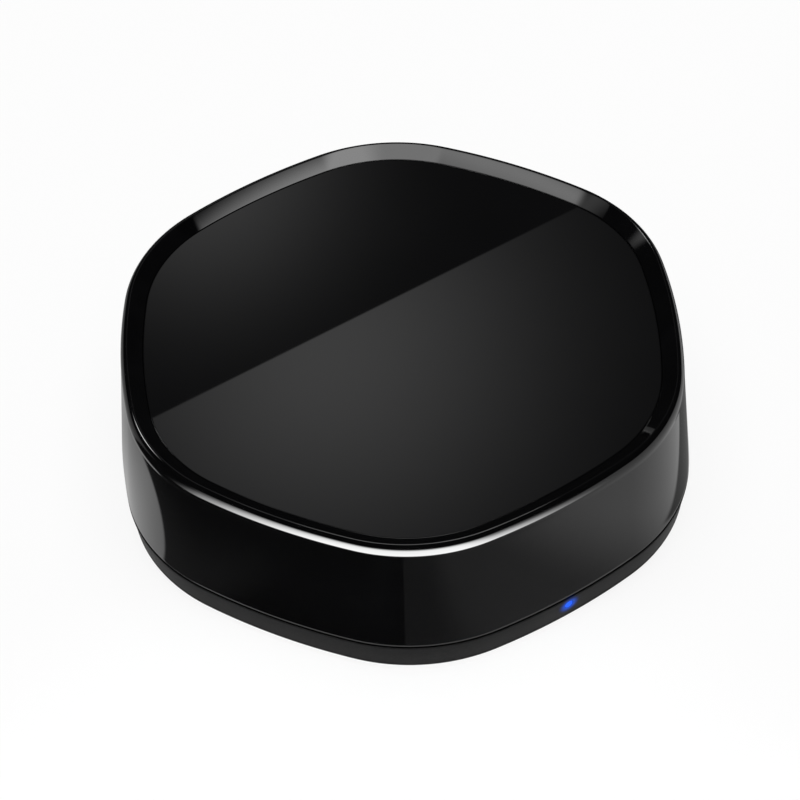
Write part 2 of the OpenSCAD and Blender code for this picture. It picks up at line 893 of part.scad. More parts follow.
module chip_capacitors() {
    color("#a98457") at_ceramics() block(chip_l - 2 * chip_cap, chip_w, chip_h);
}

module chip_end_caps() {
    color("#d0d3d6") {
        at_resistors() end_caps();
        at_ceramics() end_caps();
    }
}

module end_caps() {
    for (x = [-1, 1]) translate([x * (chip_l - chip_cap) / 2, 0, 0]) block(chip_cap, chip_w, chip_h);
}

module indicator_led() {
    color("#e8edf2") translate([0, pipe_y, light_low]) block(light_w, light_d, light_h);
}

// Foam collar that keeps the indicator's light inside its pipe
module indicator_gasket() {
    color("#232323") translate([0, pipe_y, light_low]) difference() {
        block(light_w + 2 * gasket_wall, light_d + 2 * gasket_wall, light_h);
        translate([0, 0, -overrun]) block(light_w + light_gap, light_d + light_gap, light_h + 2 * overrun);
    }
}

top_panel();
panel_adhesive();
upper_shell();
base_cover();
shell_screws();
rubber_feet();
underside_label();
light_pipe();
reset_button();
main_board();
board_screws();
usb_socket_shell();
usb_socket_tongue();
usb_socket_contacts();
reset_switch_body();
reset_switch_cover();
reset_switch_plunger();
reset_switch_dome();
side_emitter(0);  // ir_emitter_1
side_emitter(1);  // ir_emitter_2
side_emitter(2);  // ir_emitter_3
side_emitter(3);  // ir_emitter_4
side_emitter(4);  // ir_emitter_5
side_emitter(5);  // ir_emitter_6
ir_emitter_top();
ir_emitter_leads();
ir_receiver();
ir_receiver_leads();
radio_module_board();
radio_module_shield();
radio_module_antenna();
radio_module_pads();
voltage_regulator();
voltage_regulator_leads();
capacitor_cans();
capacitor_bases();
input_diode();
input_diode_leads();
driver_transistors();
driver_transistor_leads();
chip_resistors();
chip_capacitors();
chip_end_caps();
indicator_led();
indicator_gasket();
solder_joints();
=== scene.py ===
import json
import math
import bmesh
import bpy
import numpy as np
from mathutils import Matrix, Vector


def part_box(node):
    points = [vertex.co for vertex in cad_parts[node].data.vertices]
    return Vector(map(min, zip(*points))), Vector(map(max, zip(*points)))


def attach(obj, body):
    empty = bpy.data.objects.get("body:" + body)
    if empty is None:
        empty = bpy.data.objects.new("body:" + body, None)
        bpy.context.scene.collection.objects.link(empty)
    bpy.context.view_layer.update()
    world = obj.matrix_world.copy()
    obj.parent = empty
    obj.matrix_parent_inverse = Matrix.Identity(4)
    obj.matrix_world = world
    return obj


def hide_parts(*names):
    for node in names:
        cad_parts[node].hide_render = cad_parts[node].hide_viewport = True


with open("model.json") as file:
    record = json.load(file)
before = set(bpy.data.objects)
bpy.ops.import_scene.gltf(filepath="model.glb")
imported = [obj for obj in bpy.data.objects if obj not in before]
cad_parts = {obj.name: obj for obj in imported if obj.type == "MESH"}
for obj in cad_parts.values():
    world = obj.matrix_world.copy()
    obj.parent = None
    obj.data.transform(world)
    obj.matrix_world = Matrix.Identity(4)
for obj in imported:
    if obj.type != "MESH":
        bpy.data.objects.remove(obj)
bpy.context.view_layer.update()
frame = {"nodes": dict(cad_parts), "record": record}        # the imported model: bodies, nodes, joints and record

mm = 0.001
print("frame loaded:", len(frame["nodes"]), "nodes")

# The housing's outline, shared by shell, base and panel. Heights come from the frame.
housing = {
    "sideRadius": 86.3 * mm,       # each bowed side, at the top of the wall
    "cornerRadius": 23.8 * mm,     # each corner, at the same height
    "flare": 1.2 * mm,             # how far the wall stands out at its foot
    "rimLand": 0.3 * mm,           # upright land at each end of a leaning side
    "bossTurns": (30, 150, 210, 330),  # degrees round the housing
    "bossInset": 5.8 * mm,         # from the wall's face to a boss's middle
    "seatDrop": 0.68 * mm,         # bosses and pillars meet this far below the lip's top
    "cutOver": 1.0 * mm,           # how far a cutting tool runs past what it cuts
    "cornerSteps": 40,             # columns along a corner
    "sideSteps": 44,               # columns along a side
    "arcSteps": 6,                 # rows along a rounded edge
    "nearHalf": 0.49,              # share of a straight stretch that one end's rows may take
    "sharpAngle": 35,              # degrees above which an edge stays crisp
}
shellLow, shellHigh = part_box("upper_shell")
baseLow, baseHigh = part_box("base_cover")
panelLow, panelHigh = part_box("top_panel")
socketLow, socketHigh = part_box("usb_socket_shell")
buttonLow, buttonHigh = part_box("reset_button")
pipeLow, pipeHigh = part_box("light_pipe")
footLow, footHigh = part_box("rubber_feet")
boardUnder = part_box("main_board")[0].z
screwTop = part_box("shell_screws")[1].z
seat = baseHigh.z - housing["seatDrop"]
pipeRadius = (pipeHigh.x - pipeLow.x) / 2
pipeEnd = (0, pipeLow.y, pipeLow.z + pipeRadius)   # middle of the light pipe's outer end

apothem = shellHigh.y - housing["flare"]
halfStep = math.radians(30)        # half of a sixth of a turn
sideCentre = housing["sideRadius"] - apothem
arcReach = housing["sideRadius"] - housing["cornerRadius"]
cornerCentre = (math.sqrt(arcReach ** 2 - (sideCentre * math.sin(halfStep)) ** 2)
                - sideCentre * math.cos(halfStep))
cornerHalf = halfStep - math.asin(cornerCentre * math.sin(halfStep) / arcReach)


# A point of the outline has an outward normal in the direction turn. It is an arc's centre plus
# (the arc's radius - inset) * (cos turn, sin turn), on a corner's arc or on a bowed side's.
def outlineAt(turn, inset):
    corner = np.round(turn / (2 * halfStep)) * 2 * halfStep
    side = np.floor(turn / (2 * halfStep)) * 2 * halfStep + halfStep
    onCorner = np.abs(turn - corner) <= cornerHalf + 1e-9
    facing = np.where(onCorner, corner, side)
    centre = np.where(onCorner, cornerCentre, -sideCentre)
    radius = np.where(onCorner, housing["cornerRadius"], housing["sideRadius"]) - inset
    x = centre * np.cos(facing) + radius * np.cos(turn)
    y = centre * np.sin(facing) + radius * np.sin(turn)
    return x, y


# The columns of a sweep: even steps of the normal along each corner, then along each side
def outlineTurns():
    corner = np.linspace(-cornerHalf, cornerHalf, housing["cornerSteps"], endpoint=False)
    side = np.linspace(cornerHalf, 2 * halfStep - cornerHalf, housing["sideSteps"], endpoint=False)
    sector = np.concatenate([corner, side])
    return (np.arange(6)[:, None] * 2 * halfStep + sector[None, :]).ravel()


# The rows of a sweep: a profile of (inset, height, edge radius), where each corner becomes an arc
# that is tangent to both its neighbours, with a row close before and after it where there is room.
def softProfile(corners, closed, support=0.12 * mm):
    points = np.array([c[:2] for c in corners])
    rows = []
    last = len(corners) - 1
    for i, (inset, height, radius) in enumerate(corners):
        here = points[i]
        if radius == 0 or (not closed and i in (0, last)):
            rows.append(here[None, :])
            continue
        back = points[i - 1] - here
        ahead = points[(i + 1) % len(corners)] - here
        backLong, aheadLong = np.linalg.norm(back), np.linalg.norm(ahead)
        back, ahead = back / backLong, ahead / aheadLong
        bend = math.acos(np.clip(np.dot(back, ahead), -1, 1))
        reach = radius / math.tan(bend / 2)
        middle = back + ahead
        centre = here + middle / np.linalg.norm(middle) * radius / math.sin(bend / 2)
        first, final = here + back * reach - centre, here + ahead * reach - centre
        swing = math.pi - bend
        share = np.linspace(0, 1, housing["arcSteps"] + 1)[:, None]
        arc = (np.sin((1 - share) * swing) * first + np.sin(share * swing) * final) / math.sin(swing)
        most = housing["nearHalf"]
        before, after = (min(reach + support, most * long) for long in (backLong, aheadLong))
        if before > reach:
            rows.append((here + back * before)[None, :])
        rows.append(centre + arc)
        if after > reach:
            rows.append((here + ahead * after)[None, :])
    return np.concatenate(rows)


def makeMesh(name, points, faces):
    mesh = bpy.data.meshes.new(name)
    mesh.from_pydata(points.tolist(), [], faces)
    mesh.update()
    piece = bpy.data.objects.new(name, mesh)
    bpy.context.scene.collection.objects.link(piece)
    return piece


# A flat sheet from its corners in order
def flatSheet(name, corners):
    return makeMesh(name, np.array([list(c) for c in corners]), [list(range(len(corners)))])


# Quads between the rows and columns of a grid, each direction closed or open
def gridFaces(rows, columns, closedRows, closedColumns):
    r = np.arange(rows if closedRows else rows - 1)[:, None]
    c = np.arange(columns if closedColumns else columns - 1)[None, :]
    r2, c2 = (r + 1) % rows, (c + 1) % columns
    quads = np.stack([r * columns + c, r * columns + c2, r2 * columns + c2, r2 * columns + c], axis=-1)
    return quads.reshape(-1, 4).tolist()


# The flat faces that close both ends of a grid
def endFaces(rows, columns):
    return [list(range(columns))[::-1], list(range((rows - 1) * columns, rows * columns))]


# A profile carried round the outline: column = normal's direction, row = place along the profile.
# An open profile gets a flat face at each end.
def sweep(name, profile, closed):
    turns = outlineTurns()
    x, y = outlineAt(turns[None, :], profile[:, 0][:, None])
    z = np.broadcast_to(profile[:, 1][:, None], x.shape)
    points = np.stack([x, y, z], axis=-1).reshape(-1, 3)
    rows, columns = x.shape
    faces = gridFaces(rows, columns, closed, True)
    if not closed:
        faces += endFaces(rows, columns)
    return makeMesh(name, points, faces)


# Loops of points joined to a closed plug: row = loop, column = place along the loop
def plug(name, loops):
    rows, columns = loops.shape[:2]
    faces = gridFaces(rows, columns, False, True) + endFaces(rows, columns)
    return outward(makeMesh(name, loops.reshape(-1, 3), faces))


def outward(piece):
    work = bmesh.new()
    work.from_mesh(piece.data)
    bmesh.ops.recalc_face_normals(work, faces=work.faces)
    if work.calc_volume(signed=True) < 0:
        bmesh.ops.reverse_faces(work, faces=work.faces)
    work.to_mesh(piece.data)
    work.free()
    return piece


# An upright round rod at each place: a circle at its lower and at its upper height
def rods(name, places, radius, low, high, columns=48):
    angle = np.linspace(0, 2 * math.pi, columns, endpoint=False)
    height = np.array([low, high])[:, None]
    made = []
    for number, (x, y) in enumerate(places):
        ring = np.stack([x + radius * np.cos(angle) + 0 * height, y + radius * np.sin(angle) + 0 * height,
                         height + 0 * angle[None, :]], axis=-1)
        made.append(plug(f"{name}_{number}", ring))
    return joined(name, made)


def joined(name, pieces):
    work = bmesh.new()
    for piece in pieces:
        work.from_mesh(piece.data)
        bpy.data.objects.remove(piece)
    mesh = bpy.data.meshes.new(name)
    work.to_mesh(mesh)
    work.free()
    made = bpy.data.objects.new(name, mesh)
    bpy.context.scene.collection.objects.link(made)
    return made


# Cuts away or adds tools in turn, keeps the result as the piece's own mesh and drops the tools
def carve(piece, tools, operation):
    for tool in tools:
        change = piece.modifiers.new("carve", "BOOLEAN")
        change.object = tool
        change.operation = operation
        change.solver = "EXACT"
        shaped = piece.evaluated_get(bpy.context.evaluated_depsgraph_get())
        mesh = bpy.data.meshes.new_from_object(shaped)
        piece.modifiers.clear()
        piece.data = mesh
        bpy.data.objects.remove(tool)


def smooth(piece):
    piece.data.shade_smooth()
    piece.data.set_sharp_from_angle(angle=math.radians(housing["sharpAngle"]))


# How far the wall's face stands out at a height: a straight line between its two upright lands
def lean(height):
    top = shellHigh.z - shell["edgeHeight"] - housing["rimLand"]
    foot = shellLow.z + housing["rimLand"]
    return housing["flare"] * np.clip((top - height) / (top - foot), 0, 1)


# The rows of a cutting tool with a rounded mouth: each row's depth below the face, and how far it
# flares there. Depth = edge * (1 - cos a), flare = edge * (1 - sin a).
def mouth(edge, outside, deep, steps):
    curve = np.linspace(0, math.pi / 2, steps)
    depths = np.concatenate([[-outside], edge * (1 - np.cos(curve))[1:], [deep]])
    flares = np.concatenate([[edge], edge * (1 - np.sin(curve))[1:], [0]])
    return depths, flares


# A hole through the rear wall. Loop points are (across, up) about the hole's middle, and each loop
# lies at one depth below the bowed and leaning face.
def wallTool(name, middle, loop, edge):
    s = shell
    depths, flares = mouth(edge, s["toolOutside"], s["wall"] + housing["cutOver"], s["toolSteps"])
    flares[0] = edge + s["toolFlare"]
    direction = loop / np.linalg.norm(loop, axis=1)[:, None]
    spread = loop[None, :, :] + direction[None, :, :] * flares[:, None, None]
    across = middle[0] + spread[..., 0]
    up = middle[1] + spread[..., 1]
    bow = housing["sideRadius"] + lean(up) - depths[:, None]
    y = np.sqrt(bow ** 2 - across ** 2) - sideCentre
    return plug(name, np.stack([across, y, up], axis=-1))


# A circle of points
def roundLoop(radius, steps=72):
    angle = np.linspace(0, 2 * math.pi, steps, endpoint=False)
    return radius * np.stack([np.cos(angle), np.sin(angle)], axis=-1)


# A rectangle with round corners: each corner's centre plus a quarter circle
def windowLoop(width, height, radius, steps=12):
    quarter = np.linspace(0, math.pi / 2, steps)
    arcs = []
    for k, (sx, sy) in enumerate([(1, 1), (-1, 1), (-1, -1), (1, -1)]):
        centre = np.array([sx * (width / 2 - radius), sy * (height / 2 - radius)])
        arcs.append(centre + radius * np.stack([np.cos(quarter + k * math.pi / 2),
                                                np.sin(quarter + k * math.pi / 2)], axis=-1))
    return np.concatenate(arcs)


shell = {
    "wall": 2.0 * mm,
    "edge": 0.9 * mm,            # width of the rounded outer edge at the top
    "edgeHeight": 1.7 * mm,
    "land": 0.1 * mm,            # flat ridge of the bezel
    "bevel": 2.0 * mm,           # width of the bezel's inward slope
    "edgeRows": 14,
    "bend": 0.6 * mm,            # softening where the wall starts to lean
    "crease": 0.07 * mm,         # softening of the ridge and of the slope's foot
    "lowerEdge": 0.14 * mm,      # softening of the lower rim, under half of its upright land
    "ledgeWidth": 2.0 * mm,
    "ledgeThick": 1.6 * mm,
    "ledgeDrop": 0.2 * mm,       # adhesive between panel and ledge
    "windowWidth": 11.0 * mm,
    "windowHeight": 6.8 * mm,
    "windowCorner": 1.0 * mm,
    "windowEdge": 0.25 * mm,
    "buttonGap": 0.15 * mm,
    "buttonEdge": 0.15 * mm,
    "toolOutside": 0.6 * mm,     # a hole's tool starts this far outside the face
    "toolFlare": 0.02 * mm,      # and a little wider than the hole's edge
    "toolSteps": 6,
    "bossRadius": 3.0 * mm,
    "boreRadius": 1.33 * mm,
    "ribThick": 1.2 * mm,
    "ribGap": 0.3 * mm,          # a rib starts this far above its boss's end
}


def bossPlaces():
    reach = apothem - housing["bossInset"]
    return [(reach * math.cos(a), reach * math.sin(a)) for a in np.radians(housing["bossTurns"])]


# Ribs from the bosses to the wall: a flat rectangle at the lower and at the upper height
def ribTool(low, high):
    ribs = []
    for number, a in enumerate(np.radians(housing["bossTurns"])):
        ahead = np.array([math.cos(a), math.sin(a)])
        aside = np.array([-ahead[1], ahead[0]]) * shell["ribThick"] / 2
        near = (apothem - housing["bossInset"]) * ahead
        far = (apothem - (shell["wall"] - housing["flare"]) / 2) * ahead
        flat = np.array([near - aside, far - aside, far + aside, near + aside])
        ribs.append(plug(f"rib_tool_{number}", np.array([np.column_stack([flat, np.full(4, z)])
                                                         for z in (low, high)])))
    return joined("rib_tool", ribs)


def makeShell():
    s = shell
    foot = s["edge"] + s["land"] + s["bevel"]
    ledgeTop = panelLow.z - s["ledgeDrop"]
    ledgeUnder = ledgeTop - s["ledgeThick"]
    ledge = foot + s["ledgeWidth"]
    flare, land = housing["flare"], housing["rimLand"]
    brow = shellHigh.z - s["edgeHeight"]
    # the rounded edge is a quarter ellipse: inset = width * (1 - cos a), height = brow + rise * sin a
    edge = [(s["edge"] * (1 - math.cos(a)), brow + s["edgeHeight"] * math.sin(a), 0)
            for a in np.linspace(0, math.pi / 2, s["edgeRows"])]
    profile = softProfile([
        (-flare, shellLow.z, s["lowerEdge"]),
        (-flare, shellLow.z + land, s["bend"]),
        (0, brow - land, s["bend"]),
        *edge,
        (s["edge"] + s["land"], shellHigh.z, s["crease"]),
        (foot, panelHigh.z, s["crease"]),
        (foot, ledgeTop, s["crease"]),
        (ledge, ledgeTop, s["crease"]),
        (ledge, ledgeUnder, s["crease"]),
        (s["wall"] - lean(ledgeUnder), ledgeUnder, s["crease"]),
        (s["wall"] - flare, shellLow.z, s["lowerEdge"]),
    ], True)
    piece = outward(sweep("glossy_upper_shell", profile, True))
    inside = ledgeTop - s["ledgeThick"] / 2
    bosses = rods("boss_tool", bossPlaces(), s["bossRadius"], seat, inside)
    carve(piece, [bosses, ribTool(seat + s["ribGap"], inside)], "UNION")
    socketMiddle = (0, (socketLow.z + socketHigh.z) / 2)
    buttonMiddle = ((buttonLow.x + buttonHigh.x) / 2, (buttonLow.z + buttonHigh.z) / 2)
    buttonRadius = (buttonHigh.z - buttonLow.z) / 2
    window = wallTool("window_tool", socketMiddle,
                      windowLoop(s["windowWidth"], s["windowHeight"], s["windowCorner"]), s["windowEdge"])
    hole = wallTool("button_tool", buttonMiddle, roundLoop(buttonRadius + s["buttonGap"]), s["buttonEdge"])
    spare = housing["cutOver"]
    bores = rods("bore_tool", bossPlaces(), s["boreRadius"], seat - spare, screwTop + spare)
    carve(piece, [window, hole, bores], "DIFFERENCE")
    smooth(piece)
    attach(piece, "housing")
    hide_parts("upper_shell")
    print("upper shell made:", len(piece.data.polygons), "faces")
    return piece


base = {
    "sideHeight": 4.4 * mm,
    "taper": 0.6 * mm,           # how far the side leans in towards its lower edge
    "floor": 1.6 * mm,
    "floorInset": 6.0 * mm,      # the floor is one flat face from here inwards
    "lowerEdge": 0.5 * mm,
    "rimEdge": 0.12 * mm,
    "bend": 0.4 * mm,            # softening where the side starts to lean
    "lipInset": 0.96 * mm,
    "lipThick": 1.1 * mm,
    "lipHeight": 1.1 * mm,
    "crease": 0.1 * mm,
    "footGap": 0.1 * mm,
    "footSink": 0.4 * mm,
    "labelRadius": 15.2 * mm,
    "labelSink": 0.2 * mm,
    "labelColumns": 120,
    "headHole": 2.3 * mm,
    "seatHeight": 2.9 * mm,
    "screwHole": 1.4 * mm,
    "root": 0.5 * mm,            # pillars and posts start this high, inside the floor
    "pillar": 3.3 * mm,
    "post": 2.2 * mm,
    "postHole": 0.98 * mm,
    "postHoleFoot": 4.6 * mm,
    "postHead": 1.8 * mm,        # radius of a board screw's head
    "lightGap": 0.05 * mm,
    "lightEdge": 0.12 * mm,
    "lightOutside": 0.8 * mm,    # the bore's tool starts this far outside the light's end
    "lightSteps": 5,
    "lightColumns": 48,
}


def postPlaces():
    high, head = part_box("board_screws")[1], base["postHead"]
    return [(sx * (high.x - head), sy * (high.y - head)) for sx in (-1, 1) for sy in (-1, 1)]


# The light's bore, with a small round edge where it meets the bowed side: a circle at each depth
def lightTool():
    b = base
    depths, flares = mouth(b["lightEdge"], b["lightOutside"], pipeHigh.y - pipeLow.y, b["lightSteps"])
    ring = roundLoop(1.0, b["lightColumns"])
    radius = (pipeRadius + b["lightGap"] + flares)[:, None]
    return plug("light_tool", np.stack([ring[None, :, 0] * radius,
                                        (pipeLow.y + depths)[:, None] + 0 * ring[None, :, 0],
                                        pipeEnd[2] + ring[None, :, 1] * radius], axis=-1))


def makeBase():
    b = base
    low = baseLow.z
    rim, floorTop = low + b["sideHeight"], low + b["floor"]
    lipTop, lipIn = rim + b["lipHeight"], b["lipInset"] + b["lipThick"]
    flare, land = housing["flare"], housing["rimLand"]
    profile = softProfile([
        (b["floorInset"], low, 0),
        (b["taper"] - flare, low, b["lowerEdge"]),
        (b["taper"] - flare, low + b["lowerEdge"] + land, b["bend"]),
        (-flare, rim - land, b["bend"]),
        (-flare, rim, b["rimEdge"]),
        (b["lipInset"], rim, b["crease"]),
        (b["lipInset"], lipTop, b["crease"]),
        (lipIn, lipTop, b["crease"]),
        (lipIn, floorTop, b["crease"]),
        (b["floorInset"], floorTop, 0),
    ], False)
    piece = outward(sweep("matte_base_cover", profile, False))
    bosses, posts = bossPlaces(), postPlaces()
    root, spare = low + b["root"], housing["cutOver"]
    carve(piece, [
        rods("pillar_tool", bosses, b["pillar"], root, seat),
        rods("post_tool", posts, b["post"], root, boardUnder),
    ], "UNION")
    below = low - spare
    footRadius = (footHigh.y - footLow.y) / 2 - (apothem - housing["bossInset"]) * math.sin(halfStep)
    carve(piece, [
        rods("foot_tool", bosses, footRadius + b["footGap"], below, low + b["footSink"]),
        rods("head_tool", bosses, b["headHole"], below, b["seatHeight"]),
        rods("screw_tool", bosses, b["screwHole"], below, baseHigh.z),
        rods("post_hole_tool", posts, b["postHole"], b["postHoleFoot"], boardUnder + spare),
        rods("label_tool", [(0, 0)], b["labelRadius"], below, low + b["labelSink"], b["labelColumns"]),
        lightTool(),
    ], "DIFFERENCE")
    smooth(piece)
    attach(piece, "housing")
    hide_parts("base_cover")
    print("base cover made:", len(piece.data.polygons), "faces")
    return piece


panel = {
    "inset": 3.08 * mm,
    "edge": 0.05 * mm,
    "margin": 1.0 * mm,          # a row inside the edge keeps the face flat to the eye
}


def makePanel():
    p = panel
    profile = softProfile([
        (p["inset"] + p["margin"], panelLow.z, 0),
        (p["inset"], panelLow.z, p["edge"]),
        (p["inset"], panelHigh.z, p["edge"]),
        (p["inset"] + p["margin"], panelHigh.z, 0),
    ], False)
    piece = outward(sweep("smoked_top_panel", profile, False))
    smooth(piece)
    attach(piece, "housing")
    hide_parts("top_panel")
    print("top panel made:", len(piece.data.polygons), "faces")
    return piece


shellPiece = makeShell()
basePiece = makeBase()
panelPiece = makePanel()


# A node's output and its sums
class Signal:
    def __init__(self, nodes, socket):
        self.nodes = nodes
        self.socket = socket

    def __add__(self, other):
        return self.nodes.sum("ADD", self, other)

    def __radd__(self, other):
        return self.nodes.sum("ADD", other, self)

    def __sub__(self, other):
        return self.nodes.sum("SUBTRACT", self, other)

    def __rsub__(self, other):
        return self.nodes.sum("SUBTRACT", other, self)

    def __mul__(self, other):
        return self.nodes.sum("MULTIPLY", self, other)

    def __rmul__(self, other):
        return self.nodes.sum("MULTIPLY", other, self)

    def __truediv__(self, other):
        return self.nodes.sum("DIVIDE", self, other)

    def __rtruediv__(self, other):
        return self.nodes.sum("DIVIDE", other, self)

    def __pow__(self, other):
        return self.nodes.sum("POWER", self, other)

    def __rpow__(self, other):
        return self.nodes.sum("POWER", other, self)


# The nodes of a material or of the world
class Nodes:
    def __init__(self, tree):
        self.tree = tree
        tree.nodes.clear()

    # any node: its settings come first, then the values or links of its sockets
    def node(self, kind, settings=None, values=None, output=0):
        made = self.tree.nodes.new("ShaderNode" + kind)
        for name, value in (settings or {}).items():
            setattr(made, name, value)
        for name, value in (values or {}).items():
            self.put(made.inputs[name], value)
        return Signal(self, made.outputs[output])

    def put(self, socket, value):
        if isinstance(value, Signal):
            self.tree.links.new(value.socket, socket)
        elif socket.type == "RGBA" and len(value) == 3:
            socket.default_value = (*value, 1)
        else:
            socket.default_value = value

    def sum(self, operation, a, b):
        return self.node("Math", {"operation": operation}, {0: a, 1: b})

    # 1 for camera, glossy and transmission rays, 0 for the rest
    def plainlySeen(self):
        camera, glossy, through = (self.node("LightPath", output=f"Is {kind} Ray")
                                   for kind in ("Camera", "Glossy", "Transmission"))
        return self.sum("MAXIMUM", self.sum("MAXIMUM", camera, glossy), through)


# One material. Places are in metres on the piece.
class Finish(Nodes):
    def __init__(self, name, emits=False):
        self.material = bpy.data.materials.new(name)
        self.material.use_nodes = True
        super().__init__(self.material.node_tree)
        self.output = self.tree.nodes.new("ShaderNodeOutputMaterial")
        self.shader = self.tree.nodes.new("ShaderNodeEmission" if emits else "ShaderNodeBsdfPrincipled")
        self.tree.links.new(self.shader.outputs[0], self.output.inputs["Surface"])
        self.place = self.node("TexCoord", output="Object")

    def set(self, **values):
        for name, value in values.items():
            self.put(self.shader.inputs[name.replace("_", " ")], value)

    def mix(self, factor, a, b):
        return self.node("Mix", {"data_type": "RGBA"}, {0: factor, 6: a, 7: b}, output=2)

    def step(self, value, low, high):
        return self.node("MapRange", {"interpolation_type": "SMOOTHSTEP"},
                         {"Value": value, "From Min": low, "From Max": high})

    def noise(self, size, detail=3, rough=0.55, place=None):
        return self.node("TexNoise", {}, {"Vector": place or self.place, "Scale": 1 / size,
                                          "Detail": detail, "Roughness": rough})

    def cells(self, size, feature="F1"):
        return self.node("TexVoronoi", {"feature": feature}, {"Vector": self.place, "Scale": 1 / size},
                         "Distance")

    def stretched(self, scale):
        return self.node("Mapping", {}, {"Vector": self.place, "Scale": scale})

    def axis(self, output):
        return self.node("SeparateXYZ", {}, {0: self.place}, output)

    def bump(self, height, distance, strength=1.0):
        return self.node("Bump", {}, {"Height": height, "Distance": distance, "Strength": strength})

    # distance from a point, and distance along a direction
    def away(self, point):
        return self.node("VectorMath", {"operation": "DISTANCE"}, {0: self.place, 1: point}, "Value")

    def along(self, direction):
        return self.node("VectorMath", {"operation": "DOT_PRODUCT"}, {0: self.place, 1: direction}, "Value")


glossLook = {
    "colour": (0.0016, 0.0016, 0.0018),
    "haze": (0.0030, 0.0030, 0.0033),
    "roughness": 0.03,
    "smear": 0.03,               # extra roughness where the polish is a little worn
    "cloud": 9 * mm,             # size of the worn places
    "speck": 0.9 * mm,           # one dust speck in each cell of this size
    "ripple": 14 * mm,           # slow waves from the mould
    "rippleDepth": 4e-6,
}


def glossyShell():
    g = glossLook
    finish = Finish("piano_black")
    speck = finish.step(finish.cells(g["speck"]), 0.06, 0.02)
    wear = finish.step(finish.noise(g["cloud"], 4), 0.45, 0.75)
    finish.set(Base_Color=finish.mix(wear * 0.6 + speck * 0.25, g["colour"], g["haze"]),
               Roughness=g["roughness"] + g["smear"] * wear * 0.5 + speck * 0.02,
               Normal=finish.bump(finish.noise(g["ripple"], 1), g["rippleDepth"]),
               IOR=1.5)
    return finish.material


panelLook = {
    "colour": (0.0020, 0.0020, 0.0022),
    "depth": (0.0032, 0.0032, 0.0035),
    "roughness": 0.008,
    "cloud": 16 * mm,
    "streak": 1.2 * mm,          # faint wiping streaks, stretched along the panel
    "streakScale": (1, 0.04, 1),
}


def smokedPanel():
    g = panelLook
    finish = Finish("smoked_acrylic")
    cloud = finish.noise(g["cloud"], 3)
    wiped = finish.noise(g["streak"], 2, place=finish.stretched(g["streakScale"]))
    streak = finish.step(wiped, 0.62, 0.8)
    finish.set(Base_Color=finish.mix(cloud, g["colour"], g["depth"]),
               Roughness=g["roughness"] + 0.006 * finish.step(cloud, 0.4, 0.7) + 0.004 * streak,
               IOR=1.5)
    return finish.material


baseLook = {
    "colour": (0.0025, 0.0025, 0.0026),
    # the lighter tone: the grain's and cloud's own, and the painted floor bounce towards the foot
    "light": (0.0185, 0.0184, 0.0185),
    "sheen": 0.05,               # specular level of the satin side
    "paintedShadeDepth": 0.14 * mm,      # how far the painted shade beside the shadow line reaches down the side
    "paintedShadeCore": 0.3,             # share of that depth where the painted shade is fully dark
    "roughness": 0.5,
    "grain": 0.22 * mm,          # size of the spark-eroded grain
    "pits": 1.6,                 # size of its pits, in grains
    "depth": 9e-6,
    "cloud": 6 * mm,
    "glow": (0.0, 0.11, 0.9),    # painted light: the light pipe's glow painted on the plastic round it
    "glowReach": 2.0 * mm,
    "glowCore": 0.4 * mm,
    "glowFall": 1.8,
    "glowPower": 0.7,
}


def matteBase():
    g = baseLook
    finish = Finish("spark_eroded_base")
    grain = finish.noise(g["grain"], 2, 0.6)
    pits = finish.cells(g["grain"] * g["pits"], "SMOOTH_F1")
    cloud = finish.noise(g["cloud"], 3)
    height = grain * 0.6 + pits * 0.7
    # painted light: a glow round the light pipe's end, painted into the base's emission
    near = finish.step(finish.away(pipeEnd), g["glowReach"], g["glowCore"])
    # painted light and shade: lighter towards the foot as painted floor bounce, and painted shade beside the
    # shadow line
    rim = baseLow.z + base["sideHeight"]
    lower = finish.step(finish.axis("Z"), rim, baseLow.z)
    # grain and cloud vary the plastic's own tone; the lower share is painted floor bounce
    tone = finish.step(height, 0.35, 0.95) * 0.3 + cloud * 0.12 + lower * 0.5
    # painted shade: the top of the side and the rim turn dark, where the gap under the shell would shade them
    paintedSeamShade = finish.step(finish.axis("Z"), rim - g["paintedShadeDepth"], rim - g["paintedShadeCore"] * g["paintedShadeDepth"])
    finish.set(Base_Color=finish.mix(paintedSeamShade, finish.mix(tone, g["colour"], g["light"]), g["colour"]),
               Roughness=g["roughness"] + 0.12 * (grain - 0.5),
               Normal=finish.bump(height, g["depth"], 0.8),
               Emission_Color=finish.mix(near ** g["glowFall"], (0, 0, 0), g["glow"]),
               Emission_Strength=g["glowPower"], Specular_IOR_Level=g["sheen"],
               IOR=1.47)
    return finish.material


lightLook = {
    "core": (0.0, 0.10, 1.0),
    "coreShare": 0.5,            # share of the radius that has the core's colour
    "rim": (0.0, 0.07, 0.75),
    "body": (0.0, 0.02, 0.2),
    "grain": 0.2 * mm,
    "power": 1.1,
    "sheen": 0.1,                # specular level
}


def blueLight():
    g = lightLook
    finish = Finish("blue_light_pipe")
    near = finish.step(finish.away(pipeEnd), pipeRadius, g["coreShare"] * pipeRadius)
    finish.set(Base_Color=g["body"], Roughness=0.25 + 0.1 * finish.noise(g["grain"]), IOR=1.49,
               Emission_Color=finish.mix(near, g["rim"], g["core"]),
               Emission_Strength=g["power"], Specular_IOR_Level=g["sheen"])
    return finish.material


# A moulded or cast plain material: two close tones, grain and a matching bump
def mouldedFinish(name, dark, light, grain, roughness, depth):
    finish = Finish(name)
    fine = finish.noise(grain, 3, 0.6)
    broad = finish.noise(grain * 14, 2)
    finish.set(Base_Color=finish.mix(fine * 0.6 + broad * 0.4, dark, light),
               Roughness=roughness + 0.1 * (fine - 0.5),
               Normal=finish.bump(fine, depth, 0.6))
    return finish.material


